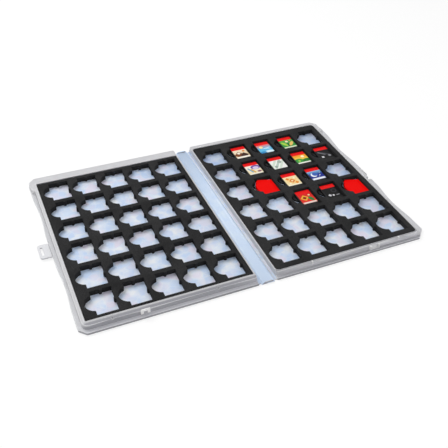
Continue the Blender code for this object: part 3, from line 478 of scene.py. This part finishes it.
# Plastic film, printed and satin varnished: flat inks with a faint print grain. A print screen's dots are
# about 0.15 mm apart and wouldn't show, so the grain is drawn at 0.3 mm.
# A bare red band lies across the far end, and under it a generic design of flat and faded marks. A mark is
# its shape, its centre and half sizes in mm from the label's middle, its turn in degrees, its colour and how
# much of it fades out.
LABEL_HALF_LENGTH_MM = 11.8
BAND_NEAR_MM = 5.6
BAND_HALF_WIDTH_MM = 12.0
BAND_RED = 0xEC1214
BAND_FADE = 0.02
LABEL_GRAIN_MM = 0.3
LABEL_GRAIN_HEIGHT = 0.02 * MM
LABEL_GRAIN_STRENGTH = 0.1
INK_SPREAD = (0.3, 0.7)
INK_DENSITY = (0.88, 1.0)
LABEL_ROUGHNESS = (0.36, 0.5)
LABEL_SHINE = 0.12
LABEL_DESIGNS = {
    "r1c2": (0xF2E6CF, [
        ("fade", 0.0, 0.0, 9.1, 8.0, 180, 0xE8CDA0, 1.0),
        ("square", -3.2, -4.8, 5.2, 5.2, 45, 0x7A4423, 0.1),
        ("square", -3.2, -1.4, 1.9, 1.9, 45, 0xF4E8D6, 0.1),
        ("square", 3.2, -6.4, 4.2, 4.2, 45, 0x3B2016, 0.1),
        ("round", 4.9, 2.4, 2.0, 2.0, 0, 0xE58A2B, 0.15),
        ("square", 0.0, -10.2, 9.1, 1.7, 0, 0xF7F0E2, 0.1),
    ]),
    "r1c3": (0x63BDE6, [
        ("fade", 0.0, 2.6, 9.1, 4.4, 0, 0xF0633A, 1.0),
        ("round", -4.0, 1.0, 2.8, 2.8, 0, 0xFFE0A0, 0.2),
        ("square", 2.6, -1.8, 5.6, 0.5, 8, 0xF7FBFD, 0.3),
        ("square", 3.8, -3.8, 4.2, 0.4, -6, 0xF7FBFD, 0.3),
        ("round", 3.6, -10.2, 7.2, 3.6, 0, 0xDDF3FB, 0.3),
        ("round", -5.2, -10.8, 5.2, 3.4, 0, 0x2F86BE, 0.3),
    ]),
    "r1c4": (0x2E8B3C, [
        ("fade", 0.0, -3.0, 9.1, 8.0, 0, 0x4FA84A, 1.0),
        ("round", -4.6, -2.6, 2.4, 6.4, 35, 0xA8D24A, 0.15),
        ("round", 0.2, -5.2, 1.9, 5.4, 4, 0x1B6B33, 0.15),
        ("round", 4.6, -3.4, 2.3, 5.8, -38, 0xE9C46A, 0.15),
        ("round", 0.4, 2.2, 2.2, 2.2, 0, 0xF8E6BC, 0.2),
        ("round", 5.2, 3.4, 1.3, 1.3, 0, 0xF08A32, 0.2),
        ("square", 0.0, -10.6, 9.1, 1.3, 0, 0xDDE8C8, 0.1),
    ]),
    "r2c2": (0xF4EDDD, [
        ("fade", 0.0, -5.0, 9.1, 7.0, 180, 0xEBD9A8, 1.0),
        ("round", 3.6, 1.4, 6.4, 4.6, 0, 0x6B4FA0, 0.12),
        ("round", 3.6, 0.2, 4.2, 3.0, 0, 0xD7C8E8, 0.12),
        ("square", -4.6, -3.2, 1.2, 5.4, 24, 0x6FA8C8, 0.2),
        ("square", -1.6, -5.0, 1.2, 4.6, 24, 0xD9A23A, 0.2),
        ("round", 5.4, -7.4, 3.0, 1.8, 0, 0x8E5A72, 0.2),
        ("square", 0.0, -10.8, 9.1, 1.1, 0, 0xF4EDDD, 0.1),
    ]),
    "r2c3": (0xF1F2EE, [
        ("square", -6.0, -2.6, 1.7, 11.0, -35, 0xD5E2D3, 0.2),
        ("square", -0.6, -3.0, 1.7, 11.0, -35, 0xB9CABF, 0.2),
        ("square", 4.8, -3.4, 1.7, 11.0, -35, 0xD5E2D3, 0.2),
        ("round", 3.6, 1.2, 3.0, 3.0, 0, 0xA3B2A8, 0.2),
        ("round", -4.6, -7.2, 2.2, 2.2, 0, 0x96A39B, 0.2),
        ("round", 4.8, -8.6, 1.3, 1.3, 0, 0xF4F4F0, 0.2),
    ]),
    "r2c4": (0xF39A22, [
        ("fade", 0.0, 0.0, 9.1, 5.0, 180, 0xF8DE5A, 1.0),
        ("round", 3.4, 1.8, 2.5, 2.5, 0, 0xFFF6C8, 0.2),
        ("round", -5.0, -6.8, 7.4, 5.6, 0, 0x3C9A3E, 0.1),
        ("round", 5.8, -8.0, 6.8, 5.2, 0, 0x27742F, 0.1),
        ("round", -4.6, -6.0, 1.7, 2.1, 0, 0x9FCF52, 0.2),
        ("square", 0.0, -10.7, 9.1, 1.2, 0, 0xF3F4EA, 0.1),
    ]),
    "r3c3": (0xF6E3B0, [
        ("round", 0.0, -3.0, 9.0, 8.0, 0, 0xF9C566, 0.9),
        ("square", -4.4, 1.4, 2.0, 2.0, 45, 0xE98B2A, 0.2),
        ("square", 0.0, -3.0, 3.1, 3.1, 45, 0xD96F1E, 0.2),
        ("square", 0.0, -3.0, 1.4, 1.4, 45, 0xFCE9B8, 0.2),
        ("square", 4.4, -7.4, 2.0, 2.0, 45, 0xE98B2A, 0.2),
        ("square", 4.4, 1.4, 1.2, 1.2, 45, 0xFBF3DC, 0.2),
        ("square", -4.4, -7.4, 1.2, 1.2, 45, 0xFBF3DC, 0.2),
        ("square", 0.0, -10.9, 9.1, 1.0, 0, 0xFBF3DC, 0.1),
    ]),
    "r3c4": (0x23348C, [
        ("fade", 0.0, 3.0, 9.1, 4.2, 0, 0x8FD0F4, 1.0),
        ("round", -2.8, -2.0, 4.2, 4.2, 0, 0xF1F6FC, 0.12),
        ("round", -1.0, -0.8, 3.7, 3.7, 0, 0x3F62B4, 0.12),
        ("round", 4.6, -3.6, 0.9, 0.9, 0, 0xF1F6FC, 0.4),
        ("round", 6.4, 1.0, 0.7, 0.7, 0, 0xF1F6FC, 0.4),
        ("round", 2.6, -6.0, 0.7, 0.7, 0, 0xF1F6FC, 0.4),
        ("square", 0.0, -10.0, 9.1, 1.8, 0, 0xE9EEF8, 0.15),
    ]),
    "r4c3": (0xCE1B1C, [
        ("fade", 0.0, 0.0, 9.1, 9.0, 180, 0xE23A2C, 1.0),
        ("square", -2.6, -1.6, 3.9, 3.9, 45, 0xE8B33C, 0.1),
        ("square", -2.6, -1.6, 2.1, 2.1, 45, 0x8E1012, 0.15),
        ("round", 4.4, -4.6, 2.6, 4.6, 25, 0x2E7D3E, 0.15),
        ("round", 4.8, 2.4, 1.4, 1.4, 0, 0xF6D9A8, 0.2),
        ("square", 0.0, -10.5, 9.1, 1.4, 0, 0xF0D9CF, 0.15),
    ]),
    "r2c5": (0x0A0A0B, [
        ("square", -3.5, -1.0, 1.3, 6.0, 50, 0x707076, 0.25),
        ("square", 1.0, -2.6, 1.3, 6.0, 50, 0x3E3E44, 0.25),
        ("square", -5.4, -8.8, 1.7, 1.7, 0, 0xD8D8DC, 0.2),
        ("round", 4.6, -7.6, 2.2, 2.2, 0, 0x8A8A90, 0.3),
    ]),
    "r4c4": (0x080809, [
        ("round", 3.6, -0.4, 3.8, 3.8, 0, 0x34343A, 0.2),
        ("round", 3.6, -0.4, 2.6, 2.6, 0, 0x080809, 0.2),
        ("square", -5.0, -7.6, 1.8, 1.8, 45, 0xC9C9CE, 0.2),
        ("square", -0.8, -8.4, 1.3, 1.3, 45, 0xE2E2E6, 0.2),
        ("square", 4.8, -8.8, 2.4, 0.7, 0, 0x9A9AA0, 0.3),
    ]),
}


def mark_layer(tree, place, centre, mark):
    """A mark's share, whole within its shape and fading out towards its outline, and its ink."""
    shape, x, y, half_x, half_y, turn, ink, fade = mark
    spot = node(
        tree, "ShaderNodeMapping",
        {
            "Vector": place,
            "Location": (centre.x + x * MM, centre.y + y * MM, centre.z),
            "Rotation": (0.0, 0.0, math.radians(turn)),
            "Scale": (half_x * MM, half_y * MM, 1.0),
        },
        vector_type="TEXTURE",
    ).outputs[0]
    if shape == "round":
        gradient = node(tree, "ShaderNodeTexGradient", {"Vector": spot}, gradient_type="SPHERICAL")
        inside = gradient.outputs["Fac"]
    elif shape == "square":
        distance = node(tree, "ShaderNodeVectorMath", {0: spot}, operation="ABSOLUTE")
        axes = node(tree, "ShaderNodeSeparateXYZ", {0: distance.outputs[0]}).outputs
        furthest = node(tree, "ShaderNodeMath", {0: axes[0], 1: axes[1]}, operation="MAXIMUM")
        within = node(tree, "ShaderNodeMath", {0: 1.0, 1: furthest.outputs[0]}, operation="SUBTRACT")
        inside = within.outputs[0]
    else:
        axes = node(tree, "ShaderNodeSeparateXYZ", {0: spot}).outputs
        inside = node(tree, "ShaderNodeMapRange", {"Value": axes[1], 1: -1.0}).outputs[0]
    return node(tree, "ShaderNodeMapRange", {"Value": inside, 2: fade}).outputs[0], ink


def printed_label(tag):
    """The print of one label, with each mark laid over the ones before it."""
    made, tree, shader = new_material("printed_film_label_" + tag)
    low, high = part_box("label_" + tag)
    centre = (Vector(low) + Vector(high)) / 2
    place = node(tree, "ShaderNodeTexCoord").outputs["Object"]
    ground, marks = LABEL_DESIGNS[tag]
    band_half_length = LABEL_HALF_LENGTH_MM - BAND_NEAR_MM
    band = ("square", 0.0, LABEL_HALF_LENGTH_MM, BAND_HALF_WIDTH_MM, band_half_length, 0, BAND_RED, BAND_FADE)
    printed = layered(tree, ground, [mark_layer(tree, place, centre, mark) for mark in (*marks, band)])
    grain = node(
        tree, "ShaderNodeTexNoise", {"Vector": place, "Scale": scale_for(LABEL_GRAIN_MM), "Detail": 2.0}
    )
    height = grain.outputs["Fac"]
    dots = node(tree, "ShaderNodeMapRange", {
        "Value": height, **from_span(INK_SPREAD), **to_span(INK_DENSITY),
    })
    inked = node(
        tree, "ShaderNodeMix", {0: 1.0, 6: printed, 7: dots.outputs[0]}, data_type="RGBA",
        blend_type="MULTIPLY",
    )
    rough = node(tree, "ShaderNodeMapRange", {"Value": height, **to_span(LABEL_ROUGHNESS)})
    bump = node(tree, "ShaderNodeBump", {
        "Height": height, "Strength": LABEL_GRAIN_STRENGTH, "Distance": LABEL_GRAIN_HEIGHT,
    })
    connect(tree, shader, {
        "Base Color": inked.outputs[2], "Roughness": rough.outputs[0], "Normal": bump.outputs[0],
        "Specular IOR Level": LABEL_SHINE,
    })
    return made


def add_object(name, data):
    """A new object in the scene: a mesh, a lamp or the camera."""
    obj = bpy.data.objects.new(name, data)
    bpy.context.scene.collection.objects.link(obj)
    return obj


def finish_node(name, material):
    """Gives a CAD node's mesh its material."""
    mesh = frame["nodes"][name].data
    mesh.materials.clear()
    mesh.materials.append(material)


def soften(obj, width, segments, from_angle):
    """A bevel along every edge that turns by more than the angle, in degrees."""
    bevel = obj.modifiers.new("softened_edges", "BEVEL")
    bevel.width = width
    bevel.segments = segments
    bevel.limit_method = "ANGLE"
    bevel.angle_limit = math.radians(from_angle)


def bake(obj):
    """Turns what an object's modifiers make into its mesh."""
    bpy.context.view_layer.update()
    mesh = bpy.data.meshes.new_from_object(obj.evaluated_get(bpy.context.evaluated_depsgraph_get()))
    obj.modifiers.clear()
    obj.data = mesh


def shade(mesh, sharp_from):
    """Smooth curves, with sharp edges from an angle in degrees."""
    mesh.shade_smooth()
    mesh.set_sharp_from_angle(angle=math.radians(sharp_from))


# A CAD node's mesh is loose triangles, which are merged where their corners meet. Angles are in degrees.
MEETING = 0.002 * MM
FLAT_NORMAL = 0.9999
PANEL_SHARP_FROM = 34
SHEET_COPLANAR = 0.5
SHEET_EDGE = 0.25 * MM
SHEET_EDGE_FROM = 35
SHEET_SHARP_FROM = 30
JUST_OUTSIDE = 0.01 * MM


def merged(name):
    """A copy of a CAD node's mesh, and a bmesh of it with its triangles merged."""
    mesh = frame["nodes"][name].data.copy()
    bm = bmesh.new()
    bm.from_mesh(mesh)
    bmesh.ops.remove_doubles(bm, verts=bm.verts, dist=MEETING)
    return mesh, bm


def mark_underneath(mesh):
    """Marks the faces that other parts of the same moulding cover from above."""
    tree = BVHTree.FromPolygons([v.co for v in mesh.vertices], [p.vertices for p in mesh.polygons])
    mark = mesh.attributes.new("underneath", "FLOAT", "FACE")
    for face in mesh.polygons:
        start = face.center + face.normal * JUST_OUTSIDE
        mark.data[face.index].value = float(tree.ray_cast(start, Vector((0.0, 0.0, 1.0)))[0] is not None)


def moulded_panel(name):
    """A panel of the case with smooth curves and sharp corners, crisp round every level face."""
    mesh, bm = merged(name)
    bm.normal_update()
    level = [[abs(face.normal.z) > FLAT_NORMAL for face in edge.link_faces] for edge in bm.edges]
    borders = [faces.count(True) == 1 for faces in level]
    bm.to_mesh(mesh)
    bm.free()
    shade(mesh, PANEL_SHARP_FROM)
    for edge, border in zip(mesh.edges, borders):
        edge.use_edge_sharp = edge.use_edge_sharp or border
    mark_underneath(mesh)
    return add_object(name + "_moulded", mesh)


def foam_sheet(name):
    """A foam sheet with the softened edges of a die cut."""
    mesh, bm = merged(name)
    flat = math.radians(SHEET_COPLANAR)
    bmesh.ops.dissolve_limit(bm, angle_limit=flat, verts=bm.verts, edges=bm.edges, delimit={"NORMAL"})
    bm.to_mesh(mesh)
    bm.free()
    obj = add_object(name + "_moulded", mesh)
    soften(obj, SHEET_EDGE, 2, SHEET_EDGE_FROM)
    bake(obj)
    shade(obj.data, SHEET_SHARP_FROM)
    return obj


def dress(obj, material, body, stands_for):
    """Gives a piece its material, its body and the CAD node that it stands for."""
    obj.data.materials.clear()
    obj.data.materials.append(material)
    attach(obj, body)
    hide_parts(stands_for)


def new_tree(name, inputs):
    """A Geometry Nodes tree with named inputs, and those inputs' sockets."""
    tree = bpy.data.node_groups.new(name, "GeometryNodeTree")
    tree.interface.new_socket("Geometry", in_out="OUTPUT", socket_type="NodeSocketGeometry")
    for title, kind in inputs.items():
        tree.interface.new_socket(title, in_out="INPUT", socket_type="NodeSocket" + kind)
    return tree, node(tree, "NodeGroupInput").outputs


def end_tree(tree, points, shape, material):
    """Ends a tree with a real copy of the shape on every point, in one material."""
    placed = node(tree, "GeometryNodeInstanceOnPoints", {"Points": points, "Instance": shape})
    solid = node(tree, "GeometryNodeRealizeInstances", {0: placed.outputs[0]})
    finished = node(tree, "GeometryNodeSetMaterial", {"Geometry": solid.outputs[0], "Material": material})
    node(tree, "NodeGroupOutput", {0: finished.outputs[0]})
    return tree


def grow(obj, tree, values):
    """Puts a tree on an object, with its inputs by name."""
    modifier = obj.modifiers.new("pieces", "NODES")
    modifier.node_group = tree
    for item in tree.interface.items_tree:
        if item.in_out == "INPUT" and item.name in values:
            modifier[item.identifier] = values[item.name]


# Gold contacts: strips in the openings of a cartridge's underside
CONTACT_COUNT = 8
CONTACT_PITCH = 2.0 * MM
CONTACT_SIZE = (1.0 * MM, 5.8 * MM, 0.12 * MM)
CONTACT_NEAR = 5.2 * MM
CONTACT_RAISE = 0.5 * MM
CONTACT_EDGE = 0.03 * MM
CONTACT_EDGE_FROM = 30
CONTACT_ROWS = 4


def contact_tree(material):
    """Geometry Nodes: strips in a row along X."""
    tree, given = new_tree(
        "gold_contact_strips", {"Count": "Int", "Pitch": "Float", "First": "Vector", "Size": "Vector"}
    )
    step = node(tree, "ShaderNodeCombineXYZ", {0: given["Pitch"]})
    row = node(tree, "GeometryNodeMeshLine", {
        "Count": given["Count"], "Start Location": given["First"], "Offset": step.outputs[0],
    })
    strip = node(tree, "GeometryNodeMeshCube", {"Size": given["Size"], "Vertices Y": CONTACT_ROWS})
    return end_tree(tree, row.outputs[0], strip.outputs[0], material)


def add_contacts(name, tree):
    """The contacts of one cartridge, with softened corners."""
    low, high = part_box(name)
    first_x = (low[0] + high[0]) / 2 - (CONTACT_COUNT - 1) / 2 * CONTACT_PITCH
    obj = add_object(name + "_contacts", bpy.data.meshes.new(name + "_contacts"))
    grow(obj, tree, {
        "Count": CONTACT_COUNT, "Pitch": CONTACT_PITCH, "Size": CONTACT_SIZE,
        "First": (first_x, low[1] + CONTACT_NEAR, low[2] + CONTACT_RAISE),
    })
    soften(obj, CONTACT_EDGE, 1, CONTACT_EDGE_FROM)
    bake(obj)
    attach(obj, name)


# Painted shade in the scoops beside the cards: a thin segment of a disc of dark foam in each, with a sliver
# of floor round it, stands for the shade and the cards' dark sides there
SCOOP_MIDDLE = (2.5 * MM, 16.4 * MM)
SEGMENT_SHIFT = (3.3 * MM, 7.2 * MM, 0.0)
SEGMENT_RADIUS = 9.9 * MM
SEGMENT_THICK = 1.6 * MM
SEGMENT_STEPS = 40
SEGMENT_MEETING = 0.01 * MM
SEGMENT_EDGE = 0.2 * MM
SEGMENT_EDGE_FROM = 50
CHORD_FROM_CARD = 0.5 * MM
SHARP_FROM = 40


def scoop_shade_tree(material):
    """Geometry Nodes: on each point a disc with everything past its chord cut away, as a thin slab."""
    tree, given = new_tree("scoop_shade_segments", {
        "Geometry": "Geometry", "Radius": "Float", "Shift": "Vector", "Chord": "Float", "Thickness": "Float",
        "Steps": "Int",
    })
    disc = node(
        tree, "GeometryNodeMeshCircle", {"Vertices": given["Steps"], "Radius": given["Radius"]},
        fill_type="NGON",
    )
    point = node(tree, "GeometryNodeInputPosition").outputs[0]
    moved = node(tree, "ShaderNodeVectorMath", {0: point, 1: given["Shift"]}, operation="ADD").outputs[0]
    reach = node(tree, "ShaderNodeVectorMath", {0: moved}, operation="LENGTH").outputs["Value"]
    inward = node(tree, "ShaderNodeMath", {0: given["Radius"], 1: reach}, operation="DIVIDE").outputs[0]
    inward = node(tree, "ShaderNodeMath", {0: inward, 1: 1.0}, operation="MINIMUM").outputs[0]
    held = node(tree, "ShaderNodeVectorMath", {0: moved, "Scale": inward}, operation="SCALE").outputs[0]
    x, y, z = node(tree, "ShaderNodeSeparateXYZ", {0: held}).outputs
    cut_x = node(tree, "ShaderNodeMath", {0: x, 1: given["Chord"]}, operation="MINIMUM").outputs[0]
    cut = node(tree, "ShaderNodeCombineXYZ", {0: cut_x, 1: y, 2: z}).outputs[0]
    segment = node(tree, "GeometryNodeSetPosition", {"Geometry": disc.outputs[0], "Position": cut}).outputs[0]
    lift = node(tree, "ShaderNodeCombineXYZ", {2: given["Thickness"]}).outputs[0]
    slab = node(tree, "GeometryNodeExtrudeMesh", {"Mesh": segment, "Offset": lift, "Individual": False})
    under = node(tree, "GeometryNodeFlipFaces", {"Mesh": segment})
    closed = node(tree, "GeometryNodeJoinGeometry")
    for side in (slab, under):
        tree.links.new(side.outputs[0], closed.inputs[0])
    welded = node(
        tree, "GeometryNodeMergeByDistance", {"Geometry": closed.outputs[0], "Distance": SEGMENT_MEETING}
    )
    return end_tree(tree, given["Geometry"], welded.outputs[0], material)


def add_scoop_segments(name, cards, corner_to_side, tree):
    """One mesh of segments for some cards, whose sides stand out past their corners by corner_to_side."""
    points = []
    for card in cards:
        low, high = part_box(card)
        x = high[0] - CARD_SPAN - CARD_CLEARANCE + SCOOP_MIDDLE[0]
        y = low[1] - CARD_CLEARANCE + SCOOP_MIDDLE[1]
        points.append((x, y, low[2]))
    mesh = bpy.data.meshes.new(name)
    mesh.from_pydata(points, [], [])
    obj = add_object(name, mesh)
    grow(obj, tree, {
        "Radius": SEGMENT_RADIUS, "Shift": SEGMENT_SHIFT, "Thickness": SEGMENT_THICK, "Steps": SEGMENT_STEPS,
        "Chord": CARD_CLEARANCE - SCOOP_MIDDLE[0] - CHORD_FROM_CARD - corner_to_side,
    })
    soften(obj, SEGMENT_EDGE, 2, SEGMENT_EDGE_FROM)
    bake(obj)
    shade(obj.data, SHARP_FROM)
    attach(obj, "base")


# Living hinges: thin films that bridge the gaps between the panels, each about its joint's axis. The ones
# beside the spine stop short of its ends, and the latch tab's is as long as the tab.
JOINTS = {joint["name"]: joint for joint in frame["joints"]}
SPINE_FILM_INSET = 1.5 * MM
FILM_HALF = 0.15 * MM
FILM_THICK = 0.16 * MM
FILM_WAIST = 0.6
FILM_STEPS = 6
FILM_ROWS = 12


def add_film(name, joint, panel, inset, material):
    """A film across one gap, thinnest along its middle, as long as the panel less an inset at each end."""
    low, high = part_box(panel)
    near, far = low[1] + inset, high[1] - inset
    axis_x, _, axis_z = joint["pos_m"]
    tops, bottoms = [], []
    for i in range(FILM_STEPS + 1):
        x = -FILM_HALF + i * 2 * FILM_HALF / FILM_STEPS
        half = FILM_THICK / 2 * (FILM_WAIST + (1 - FILM_WAIST) * (x / FILM_HALF) ** 2)
        tops.append((axis_x + x, axis_z + half))
        bottoms.append((axis_x + x, axis_z - half))
    outline = bottoms + tops[::-1]
    count = len(outline)
    bm = bmesh.new()
    rings = []
    for j in range(FILM_ROWS + 1):
        y = near + (far - near) * j / FILM_ROWS
        rings.append([bm.verts.new((x, y, z)) for x, z in outline])
    for a, b in zip(rings, rings[1:]):
        for i in range(count):
            bm.faces.new((a[i], a[(i + 1) % count], b[(i + 1) % count], b[i]))
    bm.faces.new(rings[0])
    bm.faces.new(rings[-1][::-1])
    bmesh.ops.recalc_face_normals(bm, faces=bm.faces)
    mesh = bpy.data.meshes.new(name)
    bm.to_mesh(mesh)
    bm.free()
    mesh.materials.append(material)
    shade(mesh, SHARP_FROM)
    obj = add_object(name, mesh)
    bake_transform(obj)


def set_up_camera():
    """The camera in its solved place, with its axes as the columns of its turn."""
    camera = add_object("camera", bpy.data.cameras.new("camera"))
    turn = Matrix((CAMERA_RIGHT, CAMERA_UP, CAMERA_BACK)).transposed().to_4x4()
    camera.matrix_world = Matrix.Translation(CAMERA_PLACE) @ turn
    camera.data.lens = CAMERA_LENS
    camera.data.sensor_width = SENSOR
    camera.data.clip_start, camera.data.clip_end = CAMERA_CLIP
    bpy.context.scene.camera = camera


# Light: one large softbox behind on the left, a weaker one in front, and an even pale surround
KEY_PLACE = (-0.55, 0.75, 1.15)
KEY_SIZE = 0.9
KEY_WATTS = 13.0
FILL_PLACE = (0.5, -0.9, 0.9)
FILL_SIZE = 1.2
FILL_WATTS = 4.5
SURROUND = 0.5

# Matt white paper, swept under the object: an even white ground that glows a little and keeps a soft shadow
PAPER_SIZE = 12.0
PAPER_BELOW = 0.2 * MM
PAPER_WHITE = 0.9
PAPER_ROUGHNESS = 0.9
PAPER_GLOW = 1.05
PAPER_GLOW_SHARE = 0.7


def add_softbox(name, place, size, watts):
    """A round softbox that faces the middle of the object."""
    lamp = bpy.data.lights.new(name, "AREA")
    lamp.shape = "DISK"
    lamp.size = size
    lamp.energy = watts
    obj = add_object(name, lamp)
    obj.location = place
    obj.rotation_euler = (-Vector(place)).to_track_quat("-Z", "Y").to_euler()


def background_rays(tree):
    """1 for a ray that shows the background: to the camera, in a reflection or through a clear piece."""
    rays = node(tree, "ShaderNodeLightPath").outputs
    seen = rays["Is Camera Ray"]
    for kind in ("Is Glossy Ray", "Is Transmission Ray"):
        seen = node(tree, "ShaderNodeMath", {0: seen, 1: rays[kind]}, operation="MAXIMUM").outputs[0]
    return seen


def set_up_surround():
    """An even pale surround that lights the object softly, and is white where it shows."""
    world = bpy.data.worlds.new("studio")
    world.use_nodes = True
    bpy.context.scene.world = world
    tree = world.node_tree
    strength = node(tree, "ShaderNodeMapRange", {"Value": background_rays(tree), 3: SURROUND, 4: 1.0})
    connect(tree, tree.nodes["Background"], {"Strength": strength.outputs[0], "Color": (1.0, 1.0, 1.0, 1.0)})


def add_paper_sweep():
    bpy.ops.mesh.primitive_grid_add(
        x_subdivisions=1, y_subdivisions=1, size=PAPER_SIZE, location=(0.0, 0.0, -PAPER_BELOW)
    )
    paper = bpy.context.object
    paper.name = "studio_floor"
    made, tree, shader = new_material("white_paper_sweep")
    connect(tree, shader, {"Base Color": (PAPER_WHITE,) * 3 + (1.0,), "Roughness": PAPER_ROUGHNESS})
    share = node(
        tree, "ShaderNodeMath", {0: background_rays(tree), 1: PAPER_GLOW_SHARE}, operation="MULTIPLY"
    )
    glow = node(tree, "ShaderNodeEmission", {"Strength": PAPER_GLOW})
    mixed = node(tree, "ShaderNodeMixShader", {0: share.outputs[0], 1: shader.outputs[0], 2: glow.outputs[0]})
    connect(tree, tree.nodes["Material Output"], {"Surface": mixed.outputs[0]})
    paper.data.materials.append(made)


bpy.context.scene.view_settings.view_transform = "Standard"
set_up_camera()
add_softbox("key_softbox", KEY_PLACE, KEY_SIZE, KEY_WATTS)
add_softbox("fill_softbox", FILL_PLACE, FILL_SIZE, FILL_WATTS)
set_up_surround()
add_paper_sweep()

FROSTED = frosted_polypropylene("frosted_polypropylene_moulded", TRAY_FROST)
FROSTED_SPINE = frosted_polypropylene("frosted_polypropylene_spine", SPINE_FROST)
FROSTED_LATCH = frosted_polypropylene("frosted_polypropylene_latch", LATCH_FROST)
FOAM = black_foam()
SHELL = card_plastic("black_abs_spark_grained", BLACK_ABS)
RED = card_plastic("red_abs_moulded", RED_ABS)

for name, body, finish in (
    ("right_tray", "base", FROSTED), ("spine", "spine", FROSTED_SPINE), ("left_tray", "cover", FROSTED),
    ("latch_tab", "latch", FROSTED_LATCH),
):
    dress(moulded_panel(name), finish, body, name)
for name, body in (("right_foam_insert", "base"), ("left_foam_insert", "cover")):
    dress(foam_sheet(name), FOAM, body, name)

CONTACTS = contact_tree(gold_contact())
for name in CARTRIDGES:
    finish_node(name, SHELL)
    add_contacts(name, CONTACTS)
    tag = name.removeprefix("cartridge_")
    finish_node("label_" + tag, printed_label(tag))
for name in RED_CARDS:
    finish_node(name, RED)

SCOOP_SHADE_SEGMENTS = scoop_shade_tree(FOAM)
add_scoop_segments("cartridge_scoop_segments", CARTRIDGES, 0.0, SCOOP_SHADE_SEGMENTS)
add_scoop_segments("red_card_scoop_segments", RED_CARDS, RED_CARD_BULGE, SCOOP_SHADE_SEGMENTS)

add_film("right_hinge_film", JOINTS["spine_fold"], "spine", SPINE_FILM_INSET, FROSTED_SPINE)
add_film("left_hinge_film", JOINTS["cover_fold"], "spine", SPINE_FILM_INSET, FROSTED_SPINE)
add_film("latch_hinge_film", JOINTS["latch_fold"], "latch_tab", 0.0, FROSTED)
